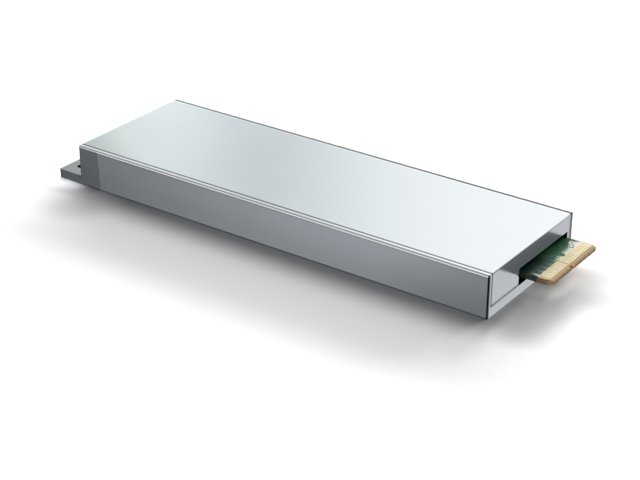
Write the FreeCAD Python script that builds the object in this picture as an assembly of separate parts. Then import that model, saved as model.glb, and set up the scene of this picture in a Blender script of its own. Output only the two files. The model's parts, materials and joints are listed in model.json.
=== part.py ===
import FreeCAD, Part
import math
import os

# Short ruler-form solid state drive in a cast two-piece case
# Millimetres: +X towards the gold contacts, +Y towards the back side, +Z up
# The origin is under the middle of the drive, on the surface it lies on

# Case
overall_length = 118.75
case_width = 33.75
case_height = 9.5
tab_length = 6.45
tongue_reach = 6.75
plate_thickness = 2.15
floor_thickness = 1.0
side_wall = 1.0
end_wall = 1.2
top_thickness = 1.2
sill_width = 2.3
rim_width = 2.2
seam_gap = 0.15
lip_thickness = 0.8
lip_depth = 2.4
front_chamfer = 0.4
chamfer_round = 0.05
back_round = 0.12
end_round = 0.1
corner_round = 0.15
tab_round = 0.12
pocket_round = 1.5
hollow_round = 0.8

# Screw holes of the latch, in the tab
latch_hole_radius = 0.85
latch_hole_spacing = 26.2
latch_hole_offset = 3.4

# Circuit board and its tongue
board_height = 3.4
board_thickness = 1.2
board_side_room = 0.35
board_end_room = 0.35
board_round = 0.8
tongue_width = 18.55
tongue_inset = 2.025
tongue_tip_round = 0.4
lead_length = 2.0
lead_depth = 0.65
bevel_length = 0.9
bevel_depth = 0.3
key_width = 0.75
key_depth = 0.55
opening_front_room = 1.35
opening_back_room = 0.1
opening_above = 1.35
opening_round = 0.3

# Gold contacts: sixteen on the back side of the key, twelve on the front side
contact_pitch = 0.6
contact_width = 0.38
contact_thickness = 0.05
contact_length = 2.4
contact_edge = 0.8
contact_counts = (16, 12)
key_gap = 1.2

# Cover screws, countersunk from below
screw_inset_x = 6.0
screw_inset_y = 4.2
screw_radius = 1.0
head_radius = 1.9
head_land = 0.2
head_recess = 0.1
socket_sides = 6
socket_size = 0.65
socket_depth = 0.5
thread_reach = 2.6
drill_room = 0.4
thread_room = 0.02
seat_room = 0.02
land_room = 0.1
base_hole_room = 0.1
board_hole_room = 0.2
boss_radius = 2.4

# Chips as (length along X, width along Y, height)
controller = (17.0, 17.0, 1.6)
controller_cap = (14.6, 14.6, 1.1)
memory = (8.0, 12.0, 1.2)
flash = (12.0, 18.0, 1.4)
power_chip = (5.0, 5.0, 0.9)
inductor = (4.0, 4.0, 1.5)
inductor_round = 0.5
input_switch = (3.0, 3.0, 0.8)
surge_diode = (2.6, 1.6, 0.9)
start_flash = (5.0, 6.0, 0.8)
crystal = (2.5, 2.0, 0.6)
sensor = (2.0, 2.0, 0.6)
tantalum = (7.3, 4.3, 1.9)
ceramic = (0.6, 1.1, 0.6)
resistor = (0.5, 1.0, 0.35)
lamp = (0.8, 1.6, 0.6)
chip_mark_radius = 0.4
chip_mark_depth = 0.1
chip_mark_inset = 1.1
terminal_length = 1.3
terminal_proud = 0.08
ceramic_end = 0.25
memory_gap = 1.0
upper_pad = 0.5
pad_overhang = 0.4

# Places on the board
power_inset = 8.3
input_inset = 3.3
inductor_pitch = 5.6
inductor_middle = 3.4
bank_inset = 7.2
bank_columns = 2
bank_rows = 4
bank_pitch_x = 8.3
bank_pitch_y = 5.0
lamp_inset = 0.25
lamp_pitch = 3.0
lamp_middle = 7.5
pipe_radius = 0.75
pipe_room = 0.05
pipe_proud = 0.2
small_gap = 1.0
ceramic_pitch = 1.7
ceramic_count = 9
resistor_pitch = 1.3
resistor_count = 10

# Cutting tools reach past the metal by this much
past = 1.0

# Places worked out from the sizes
tab_end = -overall_length / 2
tongue_end = overall_length / 2
case_left = tab_end + tab_length
case_right = tongue_end - tongue_reach
case_front = -case_width / 2
case_back = case_width / 2
cover_front = case_front + side_wall + seam_gap
cover_foot = plate_thickness + seam_gap
ceiling = case_height - top_thickness
room_left = case_left + end_wall
room_right = case_right - end_wall
room_front = case_front + side_wall
room_back = case_back - side_wall
board_left = room_left + board_end_room
board_right = room_right - board_end_room
board_front = room_front + board_side_room
board_back = room_back - board_side_room
board_top = board_height + board_thickness
tongue_back = case_back - tongue_inset
tongue_front = tongue_back - tongue_width
screw_x = (case_left + screw_inset_x, case_right - screw_inset_x)
screw_y = (case_front + screw_inset_y, case_back - screw_inset_y)
screw_places = [(x, y) for x in screw_x for y in screw_y]
first_contact_y = tongue_back - contact_edge
key_y = first_contact_y - (contact_counts[0] - 1) * contact_pitch - key_gap / 2
pipe_z = board_top + lamp[2] / 2
lamp_places = [lamp_middle - lamp_pitch / 2, lamp_middle + lamp_pitch / 2]

# Rows of chips on the upper side, spread evenly from the power stage to the capacitor bank
power_x = board_right - power_inset
bank_x = board_left + bank_inset
row_start = power_x - inductor[0] / 2
row_end = bank_x + (bank_columns - 1) * bank_pitch_x + tantalum[0] / 2
row_lengths = [controller[0], memory[0], flash[0], flash[0]]
row_gap = (row_start - row_end - sum(row_lengths)) / (len(row_lengths) + 1)
row_places = [
    row_start - (index + 1) * row_gap - sum(row_lengths[:index]) - length / 2
    for index, length in enumerate(row_lengths)
]
controller_x, memory_x = row_places[:2]
upper_flash_x = row_places[2:]
memory_y = [(memory[1] + memory_gap) / 2 * side for side in (-1, 1)]
inductor_y = [inductor_middle + inductor_pitch / 2 * side for side in (-1, 1)]
power_chip_y = inductor_y[0] - inductor[1] / 2 - small_gap - power_chip[1] / 2
input_switch_y = screw_y[0] + boss_radius + small_gap + input_switch[1] / 2
surge_diode_y = input_switch_y + input_switch[1] / 2 + small_gap + surge_diode[1] / 2

# Row of flash packages on the lower side, spread evenly between the standoffs
lower_count = 4
lower_start = screw_x[0] + boss_radius
lower_span = screw_x[1] - boss_radius - lower_start
lower_gap = (lower_span - lower_count * flash[0]) / (lower_count + 1)
lower_flash_x = [
    lower_start + lower_gap + flash[0] / 2 + index * (flash[0] + lower_gap)
    for index in range(lower_count)
]


def vec(x, y, z):
    return FreeCAD.Vector(x, y, z)


def block(x, y, z):
    """Box between a low and a high value on each axis."""
    return Part.makeBox(x[1] - x[0], y[1] - y[0], z[1] - z[0], vec(x[0], y[0], z[0]))


def pillar(place, radius, z):
    """Upright cylinder between two heights."""
    return Part.makeCylinder(radius, z[1] - z[0], vec(place[0], place[1], z[0]))


def around(middle, size):
    """Low and high value of a length set about its middle."""
    return (middle - size / 2, middle + size / 2)


def corner_points(last, here, following):
    """Start, middle and end of the round at one corner of an outline."""
    corner = vec(here[0], here[1], 0)
    to_last = (vec(last[0], last[1], 0) - corner).normalize()
    to_next = (vec(following[0], following[1], 0) - corner).normalize()
    half_angle = to_last.getAngle(to_next) / 2
    reach = here[2] / math.tan(half_angle)
    inward = (to_last + to_next).normalize()
    middle = corner + inward * (here[2] / math.sin(half_angle) - here[2])
    return corner + to_last * reach, middle, corner + to_next * reach


def lay(point, axis, level):
    """Point of a flat outline, set into space square to an axis."""
    places = {
        "x": vec(level, point.x, point.y),
        "y": vec(point.x, level, point.y),
        "z": vec(point.x, point.y, level),
    }
    return places[axis]


def prism(corners, axis, span):
    """Solid of an outline of (a, b, radius) corners, pushed along an axis."""
    count = len(corners)
    rounds = [
        corner_points(corners[index - 1], corners[index], corners[(index + 1) % count])
        for index in range(count)
    ]
    edges = []
    for index, points in enumerate(rounds):
        start, middle, end = [lay(point, axis, span[0]) for point in points]
        last_end = lay(rounds[index - 1][2], axis, span[0])
        edges.append(Part.makeLine(last_end, start))
        if corners[index][2] > 0:
            edges.append(Part.Arc(start, middle, end).toShape())
    face = Part.Face(Part.Wire(edges))
    origin = vec(0, 0, 0)
    return face.extrude(lay(origin, axis, span[1]) - lay(origin, axis, span[0]))


def rounded_plate(x, y, z, radius):
    """Upright plate with four round corners."""
    corners = [(x[0], y[0], radius), (x[1], y[0], radius), (x[1], y[1], radius), (x[0], y[1], radius)]
    return prism(corners, "z", z)


def joined(first, others):
    """One solid of several that meet."""
    return first.fuse(list(others)).removeSplitter()


def group(shapes):
    """Separate solids kept together in one piece of the assembly."""
    return Part.makeCompound(list(shapes))


# Outside of the closed case: a section along each axis, all three kept in common
def case_outside():
    across = prism(
        [
            (case_front, 0, 0),
            (case_back, 0, 0),
            (case_back, case_height, back_round),
            (case_front + front_chamfer, case_height, chamfer_round),
            (case_front, case_height - front_chamfer, chamfer_round),
        ],
        "x",
        (case_left, case_right),
    )
    along = prism(
        [
            (case_left, 0, 0),
            (case_right, 0, 0),
            (case_right, case_height, end_round),
            (case_left, case_height, end_round),
        ],
        "y",
        (case_front, case_back),
    )
    plan = rounded_plate(
        (case_left, case_right), (case_front, case_back), (0, case_height), corner_round
    )
    return across.common(along).common(plan)


# Base: plate with tab and pocket, front wall, locating lip and screw seats
def case_base():
    above = block(
        (case_left - past, case_right + past),
        (room_front, case_back + past),
        (plate_thickness, case_height + past),
    )
    tab = rounded_plate(
        (tab_end, case_left + sill_width),
        (case_front, case_back),
        (0, plate_thickness),
        tab_round,
    )
    pocket = rounded_plate(
        (case_left + sill_width, case_right - sill_width),
        (room_front, case_back - rim_width),
        (floor_thickness, plate_thickness + past),
        pocket_round,
    )
    lip = block(
        (case_left + sill_width + pocket_round, case_right - sill_width - pocket_round),
        (room_back - seam_gap - lip_thickness, room_back - seam_gap),
        (floor_thickness, board_height - seam_gap),
    )
    base = joined(case_outside().cut(above), [tab]).cut(pocket)
    standoffs = [pillar(place, boss_radius, (floor_thickness, board_height)) for place in screw_places]
    base = joined(base, [lip] + standoffs)
    for place in screw_places:
        base = base.cut(screw_seat(place))
    for side in (-1, 1):
        hole = (case_left - latch_hole_offset, latch_hole_spacing / 2 * side)
        base = base.cut(pillar(hole, latch_hole_radius, (-past, plate_thickness + past)))
    return base


# Countersink and clearance hole that one screw passes through
def screw_seat(place):
    cone_low = head_recess + head_land
    cone_height = head_radius - screw_radius
    wide = head_radius + seat_room
    narrow = screw_radius + seat_room
    land = pillar(place, head_radius + land_room, (-past, cone_low))
    cone = Part.makeCone(wide, narrow, cone_height, vec(place[0], place[1], cone_low))
    hole = pillar(place, screw_radius + base_hole_room, (0, board_height + past))
    return joined(land, [cone, hole])


# Cover: top, two end walls and back wall in one casting, with bosses and heat pedestals
def case_cover():
    kept = block(
        (case_left - past, case_right + past),
        (cover_front, case_back + past),
        (cover_foot, case_height + past),
    )
    hollow = prism(
        [
            (room_left, case_front, 0),
            (room_right, case_front, 0),
            (room_right, room_back, hollow_round),
            (room_left, room_back, hollow_round),
        ],
        "z",
        (0, ceiling),
    )
    lip = block(
        (room_left, room_right),
        (cover_front, cover_front + lip_thickness),
        (ceiling - lip_depth, ceiling),
    )
    shell = case_outside().common(kept).cut(hollow)
    bosses = [pillar(place, boss_radius, (board_top, ceiling)) for place in screw_places]
    cover = joined(shell, [lip] + bosses + pedestals())
    for place in screw_places:
        tip = board_top + thread_reach + drill_room
        cover = cover.cut(pillar(place, screw_radius + thread_room, (board_top, tip)))
    cover = cover.cut(connector_opening())
    for y in lamp_places:
        cover = cover.cut(pipe_rod(y, pipe_radius + pipe_room, (case_left - past, room_left + past)))
    return cover


# Opening in the connector panel, open at its foot down to the sill of the base
def connector_opening():
    low = tongue_front - opening_front_room
    high = tongue_back + opening_back_room
    top = board_top + opening_above
    return prism(
        [(low, 0, 0), (high, 0, 0), (high, top, opening_round), (low, top, opening_round)],
        "x",
        (room_right - past, case_right + past),
    )


# Upper chips that a pedestal of the cover reaches down to, with their places
def cooled_rows():
    return {
        "controller": [((controller_x, 0), controller_cap[:2] + (controller[2],))],
        "memory": [((memory_x, y), memory) for y in memory_y],
        "upper_flash": [((x, 0), flash) for x in upper_flash_x],
        "power": [((power_x, y), inductor) for y in inductor_y],
    }


# Blocks under the cover that press the heat pads onto the chips
def pedestals():
    blocks = []
    for chips in cooled_rows().values():
        for place, size in chips:
            low = board_top + size[2] + upper_pad
            blocks.append(block(around(place[0], size[0]), around(place[1], size[1]), (low, ceiling)))
    return blocks


# Heat pads of one row, a little smaller than their chips
def upper_pads(row):
    pads = []
    for place, size in cooled_rows()[row]:
        low = board_top + size[2]
        x = around(place[0], size[0] - pad_overhang)
        y = around(place[1], size[1] - pad_overhang)
        pads.append(block(x, y, (low, low + upper_pad)))
    return group(pads)


def lower_pads():
    pads = []
    for place in lower_flash_x:
        x = around(place, flash[0] - pad_overhang)
        y = around(0, flash[1] - pad_overhang)
        pads.append(block(x, y, (floor_thickness, board_height - flash[2])))
    return group(pads)


# Board: outline with tongue, lead-in and key, bevelled tip and screw holes
def circuit_board():
    outline = [
        (board_left, board_front, board_round),
        (board_right, board_front, board_round),
        (board_right, tongue_front, 0),
        (tongue_end - lead_length, tongue_front, 0),
        (tongue_end, tongue_front + lead_depth, 0),
        (tongue_end, key_y - key_width / 2, 0),
        (tongue_end - key_depth, key_y - key_width / 2, 0),
        (tongue_end - key_depth, key_y + key_width / 2, 0),
        (tongue_end, key_y + key_width / 2, 0),
        (tongue_end, tongue_back, tongue_tip_round),
        (board_right, tongue_back, 0),
        (board_right, board_back, 0),
        (board_left, board_back, board_round),
    ]
    board = prism(outline, "z", (board_height, board_top))
    for face, inward in ((board_top, -bevel_depth), (board_height, bevel_depth)):
        wedge = [
            (tongue_end - bevel_length, face, 0),
            (tongue_end + bevel_length, face, 0),
            (tongue_end + bevel_length, face + 2 * inward, 0),
        ]
        board = board.cut(prism(wedge, "y", (tongue_front - past, tongue_back + past)))
    for place in screw_places:
        hole = pillar(place, screw_radius + board_hole_room, (board_height - past, board_top + past))
        board = board.cut(hole)
    return board


# Gold contacts of one face of the tongue, counted from its back edge
def edge_contacts(z):
    rows = []
    tip = tongue_end - bevel_length
    for index in range(sum(contact_counts)):
        y = first_contact_y - index * contact_pitch
        if index >= contact_counts[0]:
            y -= key_gap - contact_pitch
        rows.append(block((tip - contact_length, tip), around(y, contact_width), z))
    return group(rows)


# Plain chip on a face of the board, with the shallow round mark of its first pin
def chip(place, size, low=board_top):
    body = block(around(place[0], size[0]), around(place[1], size[1]), (low, low + size[2]))
    mark_x = place[0] - size[0] / 2 + chip_mark_inset
    mark_y = place[1] - size[1] / 2 + chip_mark_inset
    top = low + size[2]
    return body.cut(pillar((mark_x, mark_y), chip_mark_radius, (top - chip_mark_depth, top + past)))


def lower_chip(place, size):
    return block(
        around(place[0], size[0]), around(place[1], size[1]), (board_height - size[2], board_height)
    )


# Small part with a raised terminal at each end, lying along X or along Y
def end_capped(place, size, terminal, proud):
    x = around(place[0], size[0])
    y = around(place[1], size[1])
    high = board_top + size[2]
    if size[0] > size[1]:
        body = block(x, (y[0] + proud, y[1] - proud), (board_top, high - proud))
        ends = [block((x[0], x[0] + terminal), y, (board_top, high))]
        ends.append(block((x[1] - terminal, x[1]), y, (board_top, high)))
    else:
        body = block((x[0] + proud, x[1] - proud), y, (board_top, high - proud))
        ends = [block(x, (y[0], y[0] + terminal), (board_top, high))]
        ends.append(block(x, (y[1] - terminal, y[1]), (board_top, high)))
    return joined(body, ends)


# Controller: thin carrier with a smaller moulded cap
def controller_chip():
    carrier_top = board_top + controller[2] - controller_cap[2]
    carrier = block(
        around(controller_x, controller[0]), around(0, controller[1]), (board_top, carrier_top)
    )
    cap = block(
        around(controller_x, controller_cap[0]),
        around(0, controller_cap[1]),
        (carrier_top, board_top + controller[2]),
    )
    return joined(carrier, [cap])


# Moulded inductors of the power stage
def power_inductors():
    return group(
        rounded_plate(
            around(power_x, inductor[0]),
            around(y, inductor[1]),
            (board_top, board_top + inductor[2]),
            inductor_round,
        )
        for y in inductor_y
    )


# Bank of capacitors that feeds the drive while it saves its data
def hold_up_capacitors():
    places = [
        (bank_x + column * bank_pitch_x, (row - (bank_rows - 1) / 2) * bank_pitch_y)
        for column in range(bank_columns)
        for row in range(bank_rows)
    ]
    return group(end_capped(place, tantalum, terminal_length, terminal_proud) for place in places)


# Two rows of ceramic capacitors, one along each long side of the controller
def ceramic_capacitors():
    offset = controller[1] / 2 + small_gap + ceramic[1] / 2
    middle = (ceramic_count - 1) / 2
    places = [
        (controller_x + (index - middle) * ceramic_pitch, offset * side)
        for side in (-1, 1)
        for index in range(ceramic_count)
    ]
    return group(end_capped(place, ceramic, ceramic_end, terminal_proud) for place in places)


# Resistors in line below the board, along its front edge
def chip_resistors():
    y = board_front + small_gap + resistor[1] / 2
    middle = (resistor_count - 1) / 2
    return group(
        lower_chip(((index - middle) * resistor_pitch, y), resistor) for index in range(resistor_count)
    )


def status_lamps():
    x = board_left + lamp_inset + lamp[0] / 2
    return group(
        block(around(x, lamp[0]), around(y, lamp[1]), (board_top, board_top + lamp[2]))
        for y in lamp_places
    )


def pipe_rod(y, radius, x):
    """Rod along X at the height of the lamps."""
    return Part.makeCylinder(radius, x[1] - x[0], vec(x[0], y, pipe_z), vec(1, 0, 0))


# Clear rods that carry the lamps' light through the latch end of the case
def light_pipes():
    return group(pipe_rod(y, pipe_radius, (case_left, room_left + pipe_proud)) for y in lamp_places)


# Countersunk screw with a six-sided socket, its head just inside the underside
def cover_screw(place):
    cone_low = head_recess + head_land
    neck = cone_low + head_radius - screw_radius
    land = pillar(place, head_radius, (head_recess, cone_low))
    cone = Part.makeCone(head_radius, screw_radius, neck - cone_low, vec(place[0], place[1], cone_low))
    shank = pillar(place, screw_radius, (neck, board_top + thread_reach))
    turns = [2 * math.pi * index / socket_sides for index in range(socket_sides)]
    socket = prism(
        [
            (place[0] + socket_size * math.cos(turn), place[1] + socket_size * math.sin(turn), 0)
            for turn in turns
        ],
        "z",
        (head_recess - past, head_recess + socket_depth),
    )
    return joined(land, [cone, shank]).cut(socket)


def all_pieces():
    input_x = board_right - input_inset
    start_flash_x = (lower_flash_x[2] + lower_flash_x[3]) / 2
    pieces = {
        "case_base": case_base(),
        "case_cover": case_cover(),
        "circuit_board": circuit_board(),
        "upper_contacts": edge_contacts((board_top, board_top + contact_thickness)),
        "lower_contacts": edge_contacts((board_height - contact_thickness, board_height)),
        "controller": controller_chip(),
        "power_chip": chip((power_x, power_chip_y), power_chip),
        "power_inductors": power_inductors(),
        "input_switch": chip((input_x, input_switch_y), input_switch),
        "surge_diode": lower_chip((input_x, surge_diode_y), surge_diode),
        "start_flash": lower_chip((start_flash_x, 0), start_flash),
        "clock_crystal": lower_chip((controller_x, board_back - crystal[1]), crystal),
        "temperature_sensor": lower_chip((bank_x, 0), sensor),
        "hold_up_capacitors": hold_up_capacitors(),
        "ceramic_capacitors": ceramic_capacitors(),
        "chip_resistors": chip_resistors(),
        "status_lamps": status_lamps(),
        "light_pipes": light_pipes(),
        "lower_heat_pads": lower_pads(),
        "cover_screws": group(cover_screw(place) for place in screw_places),
    }
    for index, y in enumerate(memory_y, 1):
        pieces[f"memory_{index}"] = chip((memory_x, y), memory)
    for index, x in enumerate(upper_flash_x, 1):
        pieces[f"upper_flash_{index}"] = chip((x, 0), flash)
    for index, x in enumerate(lower_flash_x, 1):
        pieces[f"lower_flash_{index}"] = lower_chip((x, 0), flash)
    for row in cooled_rows():
        pieces[f"{row}_heat_pad"] = upper_pads(row)
    return pieces


os.makedirs("parts", exist_ok=True)
for name, shape in all_pieces().items():
    shape.exportStep(f"parts/{name}.step")
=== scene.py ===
import json
import math

import bpy
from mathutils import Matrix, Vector


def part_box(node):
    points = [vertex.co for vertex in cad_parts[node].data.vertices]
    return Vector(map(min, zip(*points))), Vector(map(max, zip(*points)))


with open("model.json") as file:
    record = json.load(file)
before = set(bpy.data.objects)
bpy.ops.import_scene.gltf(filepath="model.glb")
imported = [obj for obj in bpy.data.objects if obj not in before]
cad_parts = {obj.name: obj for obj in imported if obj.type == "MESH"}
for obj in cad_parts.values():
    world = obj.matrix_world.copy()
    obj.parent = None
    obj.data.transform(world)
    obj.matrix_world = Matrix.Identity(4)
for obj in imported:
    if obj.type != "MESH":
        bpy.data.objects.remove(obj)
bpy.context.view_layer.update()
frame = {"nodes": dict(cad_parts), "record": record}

# Materials, floor, light and camera for a bare metal drive
# Lengths are in metres; a length given in millimetres is multiplied by MM
MM = 0.001

# Places read from the frame
base_low, base_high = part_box("case_base")
cover_low, cover_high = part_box("case_cover")
board_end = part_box("circuit_board")[1].x
contact_low, contact_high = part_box("upper_contacts")
tab_end = base_low.x
case_left, case_right = cover_low.x, cover_high.x
case_front, case_back = base_low.y, base_high.y
case_top = base_high.z
seam_y, seam_z = cover_low.y, cover_low.z

# The tongue's sides, the middle of its key and a latch hole, from the nearest of those
tongue_back = contact_high.y + 0.61 * MM
tongue_front = contact_low.y - 0.71 * MM
key_y = contact_high.y - 9.79 * MM
hole_x, hole_y = case_left - 3.4 * MM, 13.1 * MM

# A contact's width in the row, and how far its middle lies from its front edge, as a share
CONTACT_PITCH = 0.6 * MM
CONTACT_MIDDLE = 0.32


def map_range(tree, source, low, high, to_low=0.0, to_high=1.0, smooth=True):
    """Moves a socket's value from one range to another and holds it beyond both ends."""
    node = tree.nodes.new("ShaderNodeMapRange")
    if smooth:
        node.interpolation_type = "SMOOTHSTEP"
    tree.links.new(source, node.inputs["Value"])
    node.inputs["From Min"].default_value = low
    node.inputs["From Max"].default_value = high
    node.inputs["To Min"].default_value = to_low
    node.inputs["To Max"].default_value = to_high
    return node.outputs["Result"]


class Nodes:
    """A material with one Principled surface, and short names for the nodes that feed it."""

    def __init__(self, name, color, metallic=0.0, roughness=0.5):
        self.material = bpy.data.materials.new(name)
        self.material.use_nodes = True
        self.tree = self.material.node_tree
        self.surface = self.tree.nodes["Principled BSDF"]
        self.set("Base Color", (*color, 1.0))
        self.set("Metallic", metallic)
        self.set("Roughness", roughness)
        self.coordinates = self.tree.nodes.new("ShaderNodeTexCoord").outputs["Object"]
        self.geometry = self.tree.nodes.new("ShaderNodeNewGeometry").outputs
        self.place = self.split(self.coordinates)
        self.direction = self.split(self.geometry["Normal"])

    def set(self, socket, value):
        """Gives a socket of the surface a constant."""
        self.surface.inputs[socket].default_value = value

    def wire(self, socket, source):
        """Feeds a socket of the surface."""
        self.link(source, self.surface.inputs[socket])

    def link(self, source, target):
        self.tree.links.new(source, target)

    def feed(self, source, target):
        """Gives an input a number or links a socket to it."""
        if isinstance(source, (int, float)):
            target.default_value = source
        else:
            self.link(source, target)

    def split(self, vector):
        node = self.tree.nodes.new("ShaderNodeSeparateXYZ")
        self.link(vector, node.inputs[0])
        return node.outputs

    def axis(self, letter):
        return self.place[letter.upper()]

    def normal(self, letter):
        return self.direction[letter.upper()]

    def math(self, operation, first, second=0.0):
        node = self.tree.nodes.new("ShaderNodeMath")
        node.operation = operation
        self.feed(first, node.inputs[0])
        self.feed(second, node.inputs[1])
        return node.outputs[0]

    def plus(self, first, *others):
        for other in others:
            first = self.math("ADD", first, other)
        return first

    def minus(self, first, second):
        return self.math("SUBTRACT", first, second)

    def times(self, first, *others):
        for other in others:
            first = self.math("MULTIPLY", first, other)
        return first

    def over(self, first, second):
        return self.math("DIVIDE", first, second)

    def size(self, source):
        return self.math("ABSOLUTE", source)

    def distance(self, across, along):
        squares = self.plus(self.times(across, across), self.times(along, along))
        return self.math("SQRT", squares)

    def random(self, source):
        """Even chance from 0 to 1, the same for equal inputs."""
        node = self.tree.nodes.new("ShaderNodeTexWhiteNoise")
        node.noise_dimensions = "1D"
        self.link(source, node.inputs["W"])
        return node.outputs["Value"]

    def noise(self, scale, detail, stretch=(1.0, 1.0, 1.0)):
        mapping = self.tree.nodes.new("ShaderNodeMapping")
        mapping.inputs["Scale"].default_value = stretch
        self.link(self.coordinates, mapping.inputs["Vector"])
        node = self.tree.nodes.new("ShaderNodeTexNoise")
        node.inputs["Scale"].default_value = scale
        node.inputs["Detail"].default_value = detail
        self.link(mapping.outputs["Vector"], node.inputs["Vector"])
        return node.outputs["Fac"]

    def bump(self, height, strength, depth):
        node = self.tree.nodes.new("ShaderNodeBump")
        node.inputs["Strength"].default_value = strength
        node.inputs["Distance"].default_value = depth
        self.link(height, node.inputs["Height"])
        self.wire("Normal", node.outputs["Normal"])

    def mix(self, factor, first, second):
        """Colour mixed from first to second; each is a socket or an RGB triple."""
        node = self.tree.nodes.new("ShaderNodeMix")
        node.data_type = "RGBA"
        self.feed(factor, node.inputs["Factor"])
        for color, target in ((first, node.inputs["A"]), (second, node.inputs["B"])):
            if isinstance(color, tuple):
                target.default_value = (*color, 1.0)
            else:
                self.link(color, target)
        return node.outputs["Result"]

    def shaded(self, color, tones):
        """Colour darkened, or lit, on each mask by its factor."""
        for mask, factor in tones:
            node = self.tree.nodes.new("ShaderNodeVectorMath")
            node.operation = "SCALE"
            self.link(color, node.inputs[0])
            self.link(self.plus(self.times(mask, factor - 1.0), 1.0), node.inputs["Scale"])
            color = node.outputs[0]
        return color

    # Masks: each is 1 on the wanted part of the surface and 0 elsewhere
    # Edges are softened over the millimetres that soft gives, to each side
    def ramp(self, source, low, high, to_low=0.0, to_high=1.0):
        return map_range(self.tree, source, low, high, to_low, to_high)

    def above(self, letter, place, soft=0.04):
        return self.ramp(self.axis(letter), place - soft * MM, place + soft * MM)

    def below(self, letter, place, soft=0.04):
        return self.ramp(self.axis(letter), place - soft * MM, place + soft * MM, 1.0, 0.0)

    def span(self, letter, low, high, soft=0.04):
        return self.times(self.above(letter, low, soft), self.below(letter, high, soft))

    def about(self, letter, middle, width, soft=0.04):
        """Within a width in millimetres centred on a place."""
        half = width / 2 * MM
        return self.span(letter, middle - half, middle + half, soft)

    def round_mask(self, x, y, radius):
        """Within a radius in millimetres of an upright line, on both sides of the drive."""
        across = self.minus(self.axis("x"), x)
        along = self.minus(self.size(self.axis("y")), y)
        soft = 0.05
        low, high = (radius - soft) * MM, (radius + soft) * MM
        return self.ramp(self.distance(across, along), low, high, 1.0, 0.0)

    def oval(self, x, y, reach_x, reach_y):
        """1 at a place on the floor, 0 beyond its reach, all in millimetres."""
        across = self.over(self.minus(self.axis("x"), x * MM), reach_x * MM)
        along = self.over(self.minus(self.axis("y"), y * MM), reach_y * MM)
        return self.ramp(self.distance(across, along), 0.1, 1.0, 1.0, 0.0)


def case_metal(name, tint, tones):
    """Satin bare aluminium with fine grain, faint clouds and the painted shade and highlights of
    its own piece.
    """
    nodes = Nodes(name, tint, metallic=1.0)
    grain = nodes.noise(5200.0, 3.0)
    cloud = nodes.noise(60.0, 3.0)
    dull = tuple(channel * 0.965 for channel in tint)
    bright = tuple(min(1.0, channel * 1.015) for channel in tint)
    shade = nodes.mix(nodes.ramp(cloud, 0.35, 0.65), dull, tint)
    shade = nodes.mix(nodes.ramp(grain, 0.3, 0.7), shade, bright)
    nodes.wire("Base Color", nodes.shaded(shade, tones(nodes)))
    nodes.wire("Roughness", nodes.ramp(cloud, 0.3, 0.7, 0.14, 0.18))
    nodes.bump(grain, 0.035, 0.02 * MM)
    return nodes.material


def cover_painted_light(nodes):
    """Painted light on the cover: painted shade on its front left corner and along the seam,
    dark painted reflections on the rims, and a painted highlight beside the back rim.
    """
    top = nodes.above("z", case_top - 0.3 * MM)
    end = nodes.above("x", case_right - 0.3 * MM)
    from_left = nodes.over(nodes.minus(nodes.axis("x"), case_left), 14 * MM)
    from_front = nodes.over(nodes.minus(nodes.axis("y"), seam_y), 9 * MM)
    corner = nodes.ramp(nodes.plus(from_left, from_front), 0.0, 1.5, 1.0, 0.0)
    back_rim = nodes.times(top, nodes.above("y", case_back - 0.8 * MM))
    rightward = nodes.ramp(nodes.axis("x"), -20 * MM, 30 * MM)
    beside_rim = nodes.about("y", case_back - 1.1 * MM, 0.5)
    end_rim = nodes.above("x", case_right - 0.17 * MM)
    frontward = nodes.ramp(nodes.axis("y"), 0.0, 10 * MM, 1.0, 0.5)
    return [
        # Painted shade on the front left corner of the top
        (corner, 0.78),
        # Dark painted reflection on the back rim, deeper to the right
        (back_rim, 0.31),
        (nodes.times(back_rim, rightward), 0.5),
        # Painted highlight beside the back rim
        (nodes.times(top, beside_rim), 1.13),
        # Painted reflection line on the top's rim at the end, weaker towards the back
        (nodes.times(top, end_rim, frontward), 0.55),
        # Painted shade along the seam on the top and on the end
        (nodes.times(top, nodes.below("y", seam_y + 0.28 * MM)), 0.44),
        (nodes.times(end, nodes.below("y", seam_y + 0.3 * MM)), 0.45),
        (nodes.times(end, nodes.below("z", seam_z + 0.38 * MM, 0.1)), 0.55),
        # Painted shade on the end's back corner
        (nodes.times(end, nodes.above("y", case_back - 1.5 * MM, 0.25)), 0.88),
        (nodes.times(end, nodes.above("y", case_back - 1.05 * MM, 0.12)), 0.28),
    ]


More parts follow.
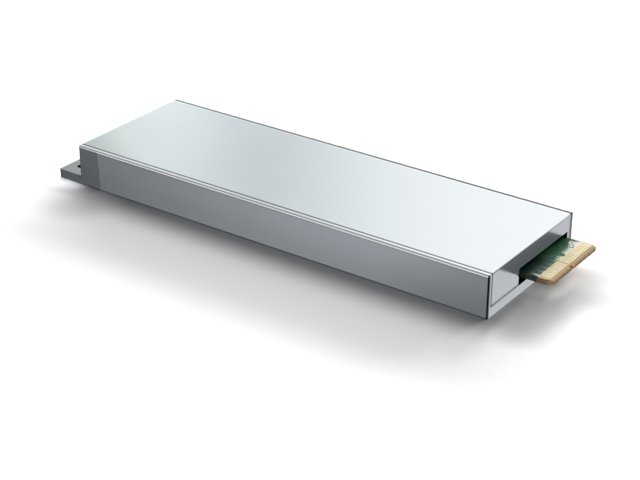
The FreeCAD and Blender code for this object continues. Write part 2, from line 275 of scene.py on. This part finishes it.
def base_painted_light(nodes):
    """Painted highlights and shade along the front wall's rims, a painted dark reflection at its
    left end, and painted shade in the hole, on the tab and at the end's corners.
    """
    top = nodes.above("z", case_top - 0.6 * MM)
    end = nodes.above("x", case_right - 0.3 * MM)
    front = nodes.below("y", case_front + 0.1 * MM)
    upper = nodes.above("z", 1.5 * MM)
    chamfer_foot = nodes.about("y", case_front + 0.22 * MM, 0.2)
    wall_top = nodes.about("y", case_front + 0.62 * MM, 0.4)
    bright_line = nodes.span("z", case_top - 0.5 * MM, case_top - 0.28 * MM)
    dull_line = nodes.span("z", case_top - 0.85 * MM, case_top - 0.55 * MM)
    beside_corner = nodes.span("y", case_front + 0.42 * MM, case_front + 0.8 * MM)
    left_rim = nodes.span("x", case_left - MM, case_left + 0.3 * MM)
    # A painted dark reflection on the front wall's left end, its edge leaning a little
    leaning = nodes.plus(nodes.axis("x"), nodes.times(nodes.axis("z"), 0.04))
    image_end = case_left + 5.9 * MM
    image = nodes.ramp(leaning, image_end - 0.25 * MM, image_end + 0.25 * MM, 1.0, 0.0)
    # Painted shade on the tab's level top
    level_tab = nodes.times(nodes.below("x", case_left), nodes.ramp(nodes.normal("z"), 0.5, 0.9))
    return [
        # Painted shade along the seam and the chamfer's foot, and a painted highlight on the
        # wall's top
        (nodes.times(top, nodes.span("y", seam_y - 0.3 * MM, seam_y)), 0.6),
        (nodes.times(top, chamfer_foot), 0.42),
        (nodes.times(top, wall_top), 1.42),
        # Painted highlight and painted shade in lines along the front wall's upper rim
        (nodes.times(front, bright_line), 1.42),
        (nodes.times(front, dull_line), 0.9),
        # Painted shade along the foot, in the hole and on the front right corner
        (nodes.times(front, nodes.below("z", 0.28 * MM)), 0.55),
        (nodes.round_mask(hole_x, hole_y, 0.9), 0.15),
        (nodes.times(front, nodes.above("x", case_right - 0.32 * MM)), 0.1),
        # Painted highlight low on the end, and painted shade at its front corner
        (nodes.times(end, nodes.below("z", seam_z)), 1.1),
        (nodes.times(end, nodes.below("y", case_front + 0.42 * MM)), 0.12),
        (nodes.times(end, beside_corner), 0.85),
        # Painted dark reflection at the left end, and painted shade on the left rim and the
        # tab's top
        (nodes.times(front, image), 0.655),
        (nodes.times(front, upper, left_rim), 0.75),
        (level_tab, 0.565),
    ]


# Colours of the board, all linear
MASK_DARK = (0.009, 0.024, 0.018)
MASK = (0.013, 0.055, 0.030)
MASK_LIGHT = (0.030, 0.095, 0.040)
TRACE = (0.055, 0.113, 0.093)
TRACE_END = (0.60, 0.78, 0.58)
LAMINATE = (0.66, 0.53, 0.34)
LAMINATE_LIGHT = (0.73, 0.59, 0.40)
LAMINATE_BEFORE_CONTACT = (0.92, 0.80, 0.60)
LAMINATE_BETWEEN = (0.42, 0.29, 0.15)
PATCH = (0.60, 0.64, 0.57)
PATCH_HOLE = (0.05, 0.06, 0.04)
BEVEL = (0.40, 0.285, 0.155)
# Painted shade on the bevel's outer end
BEVEL_PAINTED_SHADE = (0.27, 0.178, 0.083)
# Painted shadow of the case on the board's cut
CUT_PAINTED_SHADOW = (0.045, 0.050, 0.030)
CUT = (0.28, 0.16, 0.06)
CUT_LIGHT = (0.40, 0.26, 0.12)
CUT_CORNER = (0.62, 0.42, 0.17)
# Painted shade on the cut's end face
CUT_END_PAINTED_SHADE = (0.24, 0.143, 0.047)
KEY = (0.52, 0.24, 0.09)
BACK_EDGE_DARK = (0.05, 0.06, 0.05)

# Small plated holes near the tongue's back corner, in millimetres
# Each is so far out of the case and so far in from the tongue's back side
PATCH_HOLES = [(1.92, 2.58), (2.46, 3.46), (3.02, 3.24), (2.01, 1.60), (2.60, 2.30)]


def green_mask(nodes, cloud, count, on_trace, used, inward):
    """Solder mask, lighter over the traces and pale where they reach the contacts."""
    green = nodes.mix(nodes.ramp(cloud, 0.35, 0.65), MASK, MASK_LIGHT)
    green = nodes.mix(nodes.ramp(nodes.axis("y"), 2.0 * MM, 7.0 * MM), MASK_DARK, green)
    outside = nodes.above("x", case_right, 0.2)

    # The traces run in bundles of three
    bundle = nodes.over(nodes.minus(count, 1.5), 3.0)
    off_middle = nodes.size(nodes.minus(nodes.math("FRACT", bundle), 0.5))
    bundled = nodes.ramp(off_middle, 0.1, 0.45, 1.0, 0.0)
    trace = nodes.times(bundled, nodes.ramp(inward, -2.4 * MM, -0.3 * MM), outside, 0.95)
    green = nodes.mix(trace, green, TRACE)

    streak = nodes.times(on_trace, used, nodes.ramp(inward, -1.1 * MM, 0.0), outside)
    strength = nodes.ramp(nodes.axis("y"), 3.4 * MM, 5.2 * MM, 0.15, 0.95)
    green = nodes.mix(nodes.times(streak, strength), green, TRACE_END)
    first = nodes.about("y", contact_low.y, 0.5, 0.1)
    outward = nodes.ramp(nodes.axis("x"), case_right + 1.5 * MM, case_right + 3.0 * MM)
    return nodes.mix(nodes.times(first, outward, 0.75), green, TRACE_END)


def bare_laminate(nodes, weave, on_trace):
    """Woven laminate without its mask, darker between the contacts."""
    tan = nodes.mix(nodes.ramp(weave, 0.35, 0.65), LAMINATE, LAMINATE_LIGHT)
    tan = nodes.mix(nodes.times(on_trace, 0.8), tan, LAMINATE_BEFORE_CONTACT)
    between = nodes.above("x", contact_low.x, 0.1)
    return nodes.mix(nodes.times(between, 0.7), tan, LAMINATE_BETWEEN)


def with_patch(nodes, color):
    """Adds the slanted pale test patch and its plated holes."""
    slanted = nodes.plus(nodes.axis("x"), nodes.times(nodes.axis("y"), 0.5))
    slant = case_right + tongue_back / 2 + 0.45 * MM
    patch = nodes.times(
        nodes.ramp(slanted, slant - 0.2 * MM, slant + 0.2 * MM),
        nodes.span("x", case_right + 1.3 * MM, case_right + 3.6 * MM, 0.25),
        nodes.span("y", tongue_back - 4.5 * MM, tongue_back - 0.9 * MM, 0.25),
    )
    color = nodes.mix(patch, color, PATCH)
    for outward, inward in PATCH_HOLES:
        hole = nodes.round_mask(case_right + outward * MM, tongue_back - inward * MM, 0.26)
        color = nodes.mix(hole, color, PATCH_HOLE)
    return color


def cut_sides(nodes):
    """Layered cut of the board, with painted shade towards the case and on its end face."""
    layers = nodes.noise(900.0, 2.0, (0.2, 0.2, 6.0))
    cut = nodes.mix(nodes.ramp(layers, 0.4, 0.6), CUT, CUT_LIGHT)
    along = nodes.ramp(nodes.axis("x"), contact_low.x - 0.6 * MM, contact_low.x + 0.4 * MM)
    # Painted shadow of the case on the cut near the case
    cut = nodes.mix(along, CUT_PAINTED_SHADOW, cut)
    corner = nodes.ramp(nodes.axis("x"), contact_high.x - 0.8 * MM, contact_high.x + 0.2 * MM)
    cut = nodes.mix(corner, cut, CUT_CORNER)
    # Painted shade on the end face
    return nodes.mix(nodes.ramp(nodes.normal("x"), 0.8, 0.95), cut, CUT_END_PAINTED_SHADE)


def board_material():
    """Green mask, bare laminate round the contacts, bevelled tip and cut sides."""
    nodes = Nodes("solder_mask", MASK)
    nodes.set("Specular IOR Level", 0.33)
    weave = nodes.noise(1800.0, 2.0, (1.0, 3.0, 1.0))
    cloud = nodes.noise(260.0, 3.0)

    # Contacts are counted from the front edge; each one's bare end has its own length
    count = nodes.over(nodes.minus(nodes.axis("y"), contact_low.y), CONTACT_PITCH)
    beside = nodes.size(nodes.minus(nodes.math("FRACT", count), CONTACT_MIDDLE))
    on_trace = nodes.ramp(beside, 0.26, 0.40, 1.0, 0.0)
    used = nodes.minus(1.0, nodes.about("y", contact_low.y + 10.4 * MM, 1.2, 0.3))
    rearward = nodes.ramp(nodes.axis("y"), 4.5 * MM, 8.5 * MM, 0.0, 0.45 * MM)
    chance = nodes.random(nodes.math("FLOOR", count))
    length = nodes.times(nodes.plus(rearward, nodes.times(chance, 0.2 * MM)), used)
    inward = nodes.minus(nodes.axis("x"), nodes.minus(contact_low.x, length))

    # Upper and lower faces
    green = green_mask(nodes, cloud, count, on_trace, used, inward)
    bare = nodes.ramp(inward, -0.05 * MM, 0.10 * MM)
    faces = nodes.mix(bare, green, bare_laminate(nodes, weave, on_trace))
    faces = with_patch(nodes, faces)
    tip = nodes.ramp(nodes.axis("x"), contact_high.x, contact_high.x + 0.06 * MM)
    faces = nodes.mix(tip, faces, BEVEL)
    # Painted shade on the bevel's outer end
    faces = nodes.mix(nodes.above("x", board_end - 0.3 * MM, 0.1), faces, BEVEL_PAINTED_SHADE)

    # Sides, the key's copper and a dark band along the tongue's back edge
    upright = nodes.ramp(nodes.size(nodes.normal("z")), 0.4, 0.75, 1.0, 0.0)
    surface = nodes.mix(upright, faces, cut_sides(nodes))
    key = nodes.times(tip, nodes.about("y", key_y + 0.4 * MM, 1.3, 0.35))
    surface = nodes.mix(key, surface, KEY)
    dark_back_edge = nodes.times(
        nodes.span("x", case_right + 0.8 * MM, case_right + 3.2 * MM, 0.3),
        nodes.above("y", tongue_back - 0.3 * MM),
        0.8,
    )
    nodes.wire("Base Color", nodes.mix(dark_back_edge, surface, BACK_EDGE_DARK))
    nodes.wire("Roughness", nodes.ramp(cloud, 0.3, 0.7, 0.25, 0.42))
    nodes.bump(weave, 0.15, 0.03 * MM)
    return nodes.material


def gold_material():
    """Gold plating with scuffs along the way that the contacts slide."""
    gold = (1.0, 0.86, 0.57)
    scuffed = (1.0, 0.92, 0.68)
    nodes = Nodes("contact_gold", gold, metallic=0.75)
    scuff = nodes.noise(2600.0, 3.0, (0.15, 1.0, 1.0))
    nodes.wire("Base Color", nodes.mix(nodes.ramp(scuff, 0.4, 0.7), gold, scuffed))
    nodes.wire("Roughness", nodes.ramp(scuff, 0.3, 0.7, 0.22, 0.36))
    nodes.bump(scuff, 0.1, 0.01 * MM)
    return nodes.material


def grainy(name, color, roughness, metallic=0.0, scale=1500.0):
    """Plain surface whose colour, gloss and grain vary a little."""
    nodes = Nodes(name, color, metallic=metallic)
    grain = nodes.noise(scale, 4.0)
    paler = tuple(min(1.0, channel * 1.2 + 0.002) for channel in color)
    nodes.wire("Base Color", nodes.mix(nodes.ramp(grain, 0.35, 0.65), color, paler))
    rougher = min(1.0, roughness * 1.15)
    nodes.wire("Roughness", nodes.ramp(grain, 0.3, 0.7, roughness * 0.85, rougher))
    nodes.bump(grain, 0.2, 0.02 * MM)
    return nodes.material


def clear_material():
    """Slightly hazy clear plastic."""
    nodes = Nodes("pipe_clear", (0.95, 0.97, 0.98))
    nodes.set("Transmission Weight", 0.9)
    nodes.set("IOR", 1.49)
    haze = nodes.noise(900.0, 2.0)
    nodes.wire("Roughness", nodes.ramp(haze, 0.3, 0.7, 0.08, 0.2))
    nodes.bump(haze, 0.1, 0.01 * MM)
    return nodes.material


materials = {
    "base_metal": case_metal("base_metal", (0.80, 0.83, 0.86), base_painted_light),
    "cover_metal": case_metal("cover_metal", (0.86, 0.90, 0.93), cover_painted_light),
    "solder_mask": board_material(),
    "contact_gold": gold_material(),
    "chip_black": grainy("chip_black", (0.022, 0.022, 0.024), 0.55),
    "ferrite_grey": grainy("ferrite_grey", (0.12, 0.12, 0.125), 0.6),
    "crystal_can": grainy("crystal_can", (0.72, 0.72, 0.7), 0.3, metallic=1.0),
    "capacitor_yellow": grainy("capacitor_yellow", (0.62, 0.38, 0.06), 0.45),
    "ceramic_tan": grainy("ceramic_tan", (0.42, 0.3, 0.18), 0.5),
    "lamp_lens": grainy("lamp_lens", (0.82, 0.84, 0.8), 0.25),
    "pipe_clear": clear_material(),
    "heat_pad": grainy("heat_pad", (0.32, 0.36, 0.42), 0.8, scale=900.0),
    "screw_steel": grainy("screw_steel", (0.58, 0.57, 0.56), 0.34, metallic=1.0),
}

slots = {part["node"]: part["material_slot"] for part in frame["record"]["subparts"]}
for name, node in frame["nodes"].items():
    for index in range(len(node.data.materials)):
        node.data.materials[index] = materials[slots[name]]


# Ovals of painted shadow and painted light on the floor, each with its middle and its reach in
# millimetres along X and Y
# A painted shadow multiplies the floor's tone by its factor, and a painted glow adds light of
# its strength
FLOOR_PAINTED_SHADOWS = [
    ((59.3, -12.5, 9, 14), 0.58),
    ((57, -9, 4, 6), 0.84),
    ((62, -2, 6, 14), 0.71),
    ((66, 3, 6, 8), 0.86),
    ((62, 10, 6, 7), 0.79),
    ((61, -18, 8, 7), 0.87),
    ((54, -28, 6, 9), 0.88),
    ((-47, -26, 12, 10), 0.76),
]
FLOOR_PAINTED_GLOWS = [
    ((54.5, -1.5, 6.5, 7), 0.17),
    ((58.5, 2, 2.5, 9), 0.17),
    ((-57.5, -17, 8, 6.5), 0.50),
]


def add_floor():
    """Pale floor with the drive's soft shadow, deepened by painted shadow at its foot and in
    ovals, and lightened by painted light before the tab and under the tongue.
    """
    bpy.ops.mesh.primitive_plane_add(size=6.0, location=(0.0, 0.0, 0.0))
    floor = bpy.context.object
    floor.name = "floor"
    nodes = Nodes("floor_white", (0.86, 0.86, 0.86), roughness=0.9)
    nodes.set("Specular IOR Level", 0.0)
    # Colour of the painted light that the floor gives off
    nodes.set("Emission Color", (0.97, 1.0, 1.06, 1.0))

    # A painted shadow at the foot follows the case's outline and fades towards both ends
    past_end = nodes.minus(nodes.size(nodes.axis("x")), case_right)
    past_side = nodes.minus(nodes.size(nodes.axis("y")), case_back)
    away = nodes.math("MAXIMUM", nodes.times(past_end, 2.0), past_side)
    foot = nodes.times(
        nodes.ramp(away, 0.0, 11.0 * MM, 0.50, 0.0),
        nodes.ramp(nodes.axis("x"), -52 * MM, -36 * MM),
        nodes.ramp(nodes.axis("x"), 54 * MM, 58 * MM, 1.0, 0.0),
    )
    shade = nodes.mix(nodes.noise(700.0, 2.0), (0.85, 0.85, 0.85), (0.87, 0.87, 0.87))
    painted_shadows = [(nodes.oval(*place), factor) for place, factor in FLOOR_PAINTED_SHADOWS]
    nodes.wire("Base Color", nodes.shaded(shade, [*painted_shadows, (foot, 0.0)]))

    # A thin rim of painted light lies between the foot's line and its shadow
    rim = nodes.ramp(away, 0.2 * MM, 2.2 * MM, 0.027, 0.0)
    rim = nodes.times(rim, nodes.ramp(nodes.axis("x"), -44 * MM, -24 * MM))
    painted_glows = [nodes.times(nodes.oval(*place), strength) for place, strength in FLOOR_PAINTED_GLOWS]
    nodes.wire("Emission Strength", nodes.plus(*painted_glows, rim))
    floor.data.materials.append(nodes.material)


def place_lamp(name, light, azimuth, elevation, reach):
    """Puts a light out in a direction, turned from +Y towards +X, to shine at the drive."""
    lamp = bpy.data.objects.new(name, light)
    turn, rise = math.radians(azimuth), math.radians(elevation)
    towards = Vector(
        (math.sin(turn) * math.cos(rise), math.cos(turn) * math.cos(rise), math.sin(rise))
    )
    lamp.location = towards * reach
    lamp.rotation_mode = "QUATERNION"
    lamp.rotation_quaternion = towards.to_track_quat("Z", "Y")
    lamp.visible_camera = False
    lamp.visible_glossy = False
    bpy.context.scene.collection.objects.link(lamp)


def add_sun(name, azimuth, elevation, strength, spread):
    """Soft light from far off. The spread is its angle in degrees seen from the drive."""
    light = bpy.data.lights.new(name, "SUN")
    light.energy = strength
    light.angle = math.radians(spread)
    place_lamp(name, light, azimuth, elevation, 1.0)


def add_strip(name, azimuth, elevation, width, height, power):
    """Long low softbox. Width and height are angles in degrees seen from the drive."""
    reach = 3.0
    light = bpy.data.lights.new(name, "AREA")
    light.shape = "RECTANGLE"
    light.size = 2 * reach * math.tan(math.radians(width / 2))
    light.size_y = 2 * reach * math.tan(math.radians(height / 2))
    light.energy = power
    place_lamp(name, light, azimuth, elevation, reach)


# Colour of the studio as the metal mirrors it, by degrees from +Y towards +X
STUDIO_BANDS = [
    (-180.0, (0.75, 0.75, 0.75)),
    (-131.0, (1.00, 1.00, 1.00)),
    (-100.0, (0.70, 0.70, 0.70)),
    (-60.0, (0.60, 0.62, 0.61)),
    (-47.0, (0.61, 0.64, 0.62)),
    (-44.0, (0.75, 0.79, 0.76)),
    (-41.5, (0.91, 0.97, 0.94)),
    (-38.0, (0.63, 0.66, 0.68)),
    (-36.0, (0.71, 0.74, 0.75)),
    (-33.5, (0.90, 0.92, 0.93)),
    (-30.0, (1.00, 1.01, 1.01)),
    (-25.0, (1.07, 1.07, 1.06)),
    (-8.0, (0.90, 0.90, 0.90)),
    (10.0, (0.70, 0.71, 0.71)),
    (48.0, (0.62, 0.63, 0.63)),
    (70.0, (0.20, 0.20, 0.20)),
    (100.0, (0.42, 0.42, 0.42)),
    (180.0, (0.75, 0.75, 0.75)),
]


def add_world():
    """White behind the drive, soft bands for what mirrors the studio, and a weak even light."""
    world = bpy.data.worlds.new("studio")
    bpy.context.scene.world = world
    world.use_nodes = True
    tree = world.node_tree
    tree.nodes.clear()
    new, link = tree.nodes.new, tree.links.new

    # Bands by the azimuth of a ray
    ray = new("ShaderNodeSeparateXYZ")
    link(new("ShaderNodeTexCoord").outputs["Generated"], ray.inputs[0])
    azimuth = new("ShaderNodeMath")
    azimuth.operation = "ARCTAN2"
    link(ray.outputs["X"], azimuth.inputs[0])
    link(ray.outputs["Y"], azimuth.inputs[1])
    azimuth = azimuth.outputs[0]
    bands = new("ShaderNodeValToRGB")
    bands.color_ramp.interpolation = "EASE"
    link(map_range(tree, azimuth, -math.pi, math.pi, smooth=False), bands.inputs["Fac"])
    stops = bands.color_ramp.elements
    for position, (degrees, color) in enumerate(STUDIO_BANDS):
        share = (degrees + 180.0) / 360.0
        stop = stops[position] if position < 2 else stops.new(share)
        stop.position = share
        stop.color = (*color, 1.0)

    # Dimmer near the horizon, and on the left brighter low down than higher up
    def height(degrees):
        return math.sin(math.radians(degrees))

    horizon = map_range(tree, ray.outputs["Z"], height(6.0), height(18.0), to_low=0.35)
    lower = map_range(tree, ray.outputs["Z"], height(21.5), height(26.0), 1.14, 0.80, False)
    left = map_range(tree, azimuth, math.radians(-40.0), math.radians(-37.0), 1.0, 0.0)
    tilt = new("ShaderNodeMix")
    link(left, tilt.inputs["Factor"])
    tilt.inputs["A"].default_value = 1.0
    link(lower, tilt.inputs["B"])
    strength = new("ShaderNodeMath")
    strength.operation = "MULTIPLY"
    link(horizon, strength.inputs[0])
    link(tilt.outputs["Result"], strength.inputs[1])

    mirrored = new("ShaderNodeBackground")
    link(bands.outputs["Color"], mirrored.inputs["Color"])
    link(strength.outputs[0], mirrored.inputs["Strength"])
    even = new("ShaderNodeBackground")
    even.inputs["Color"].default_value = (0.97, 0.98, 1.0, 1.0)
    even.inputs["Strength"].default_value = 0.06
    behind = new("ShaderNodeBackground")
    behind.inputs["Color"].default_value = (1.0, 1.0, 1.0, 1.0)

    # What a ray meets depends on its kind
    path = new("ShaderNodeLightPath")
    lit = new("ShaderNodeMixShader")
    link(path.outputs["Is Diffuse Ray"], lit.inputs["Fac"])
    link(mirrored.outputs[0], lit.inputs[1])
    link(even.outputs[0], lit.inputs[2])
    shown = new("ShaderNodeMixShader")
    link(path.outputs["Is Camera Ray"], shown.inputs["Fac"])
    link(lit.outputs[0], shown.inputs[1])
    link(behind.outputs[0], shown.inputs[2])
    output = new("ShaderNodeOutputWorld")
    link(shown.outputs[0], output.inputs["Surface"])


def add_card(name, corners, strength=0.0, tint=(1.0, 1.0, 1.0)):
    """Flat glowing card that only mirroring surfaces see. Returns its material's nodes."""
    mesh = bpy.data.meshes.new(name)
    mesh.from_pydata(corners, [], [(0, 1, 2, 3)])
    card = bpy.data.objects.new(name, mesh)
    bpy.context.scene.collection.objects.link(card)
    card.visible_camera = False
    card.visible_diffuse = False
    card.visible_shadow = False
    card.visible_transmission = False
    nodes = Nodes(name, (0.0, 0.0, 0.0), roughness=1.0)
    nodes.set("Specular IOR Level", 0.0)
    nodes.set("Emission Color", (*tint, 1.0))
    nodes.set("Emission Strength", strength)
    card.data.materials.append(nodes.material)
    return nodes


def level(x, y, z):
    """Corners of a level rectangle that faces up."""
    return [(x[0], y[0], z), (x[1], y[0], z), (x[1], y[1], z), (x[0], y[1], z)]


def add_floor_cards():
    """Grey cards on the floor round the case, for its sides to mirror."""
    height = 0.05 * MM
    gap = 0.2 * MM
    reach = 150 * MM

    along = (case_left - reach, case_right + 30 * MM)
    out = (case_front - reach, case_front - gap)
    front = add_card("front_card", level(along, out, height), tint=(0.95, 1.0, 1.035))
    rising = front.ramp(front.axis("x"), -75 * MM, 14 * MM, 0.19, 0.34)
    falling = front.ramp(front.axis("x"), 18 * MM, 50 * MM, 1.0, 0.66)
    away = front.ramp(front.axis("y"), case_front - 15 * MM, case_front, 1.10, 0.86)
    front.wire("Emission Strength", front.times(rising, falling, away))

    out = (case_right + 0.02 * MM, case_right + reach)
    across = (case_front, case_back + reach)
    add_card("end_card", level(out, across, height / 2), strength=0.555)

    along = (case_left - reach, case_right)
    out = (case_back + gap, case_back + reach)
    back = add_card("back_card", level(along, out, height))
    out = (tab_end - reach, tab_end - gap)
    latch = add_card("latch_card", level(out, (case_front, case_back), height))
    for card, letter, start in ((back, "y", case_back), (latch, "x", tab_end)):
        away = card.size(card.minus(card.axis(letter), start))
        card.wire("Emission Strength", card.ramp(away, 0.0, 60 * MM, 0.34, 0.52))


def add_tongue_cards():
    """Cards that stand for the tongue's own dark image in the panel, soft at its edges."""
    out = (case_right + 0.05 * MM, board_end)
    low, high = 3.0 * MM, contact_high.z + 0.1 * MM
    front_line = tongue_front - 1.85 * MM

    upper = level(out, (front_line - 3 * MM, tongue_back), high)
    card = add_card("tongue_card", upper, strength=0.105, tint=(0.94, 1.04, 1.03))
    outward = card.minus(card.axis("x"), case_right)
    slant = card.over(card.minus(card.axis("y"), front_line), outward)
    from_above = card.minus(1.0, card.geometry["Backfacing"])
    fading = card.ramp(outward, 4.5 * MM, 6.5 * MM, 1.0, 0.0)
    card.wire("Alpha", card.times(card.ramp(slant, -0.2, 0.25), fading, from_above))

    corners = [(x, front_line, low) for x in out] + [(x, front_line, high) for x in out[::-1]]
    side = add_card("tongue_side_card", corners, strength=0.56)
    side.wire("Alpha", side.ramp(side.normal("y"), -0.5, 0.5, 1.0, 0.0))


# Camera of the photograph: its direction from the point it looks at, its distance and lens
CAMERA_AZIMUTH = 35.594
CAMERA_ELEVATION = 26.988
CAMERA_DISTANCE = 331.94 * MM
CAMERA_AIM = Vector((11.524, -14.507, 4.0)) * MM
CAMERA_LENS = 91.176
SENSOR_WIDTH = 36.0


def add_camera():
    azimuth, elevation = math.radians(CAMERA_AZIMUTH), math.radians(CAMERA_ELEVATION)
    back = Vector(
        (
            math.sin(azimuth) * math.cos(elevation),
            -math.cos(azimuth) * math.cos(elevation),
            math.sin(elevation),
        )
    )
    data = bpy.data.cameras.new("camera")
    data.sensor_width = SENSOR_WIDTH
    data.lens = CAMERA_LENS
    data.clip_start = 0.01
    data.clip_end = 20.0
    camera = bpy.data.objects.new("camera", data)
    camera.rotation_mode = "QUATERNION"
    camera.rotation_quaternion = (-back).to_track_quat("-Z", "Y")
    camera.location = CAMERA_AIM + back * CAMERA_DISTANCE
    bpy.context.scene.collection.objects.link(camera)
    bpy.context.scene.camera = camera


add_floor()
add_sun("back_light", azimuth=-15.0, elevation=52.0, strength=3.0, spread=72.0)
add_strip("low_back_light", azimuth=-15.0, elevation=18.0, width=75.0, height=8.0, power=205.0)
add_world()
add_floor_cards()
add_tongue_cards()
add_camera()
bpy.context.scene.view_settings.view_transform = "Standard"
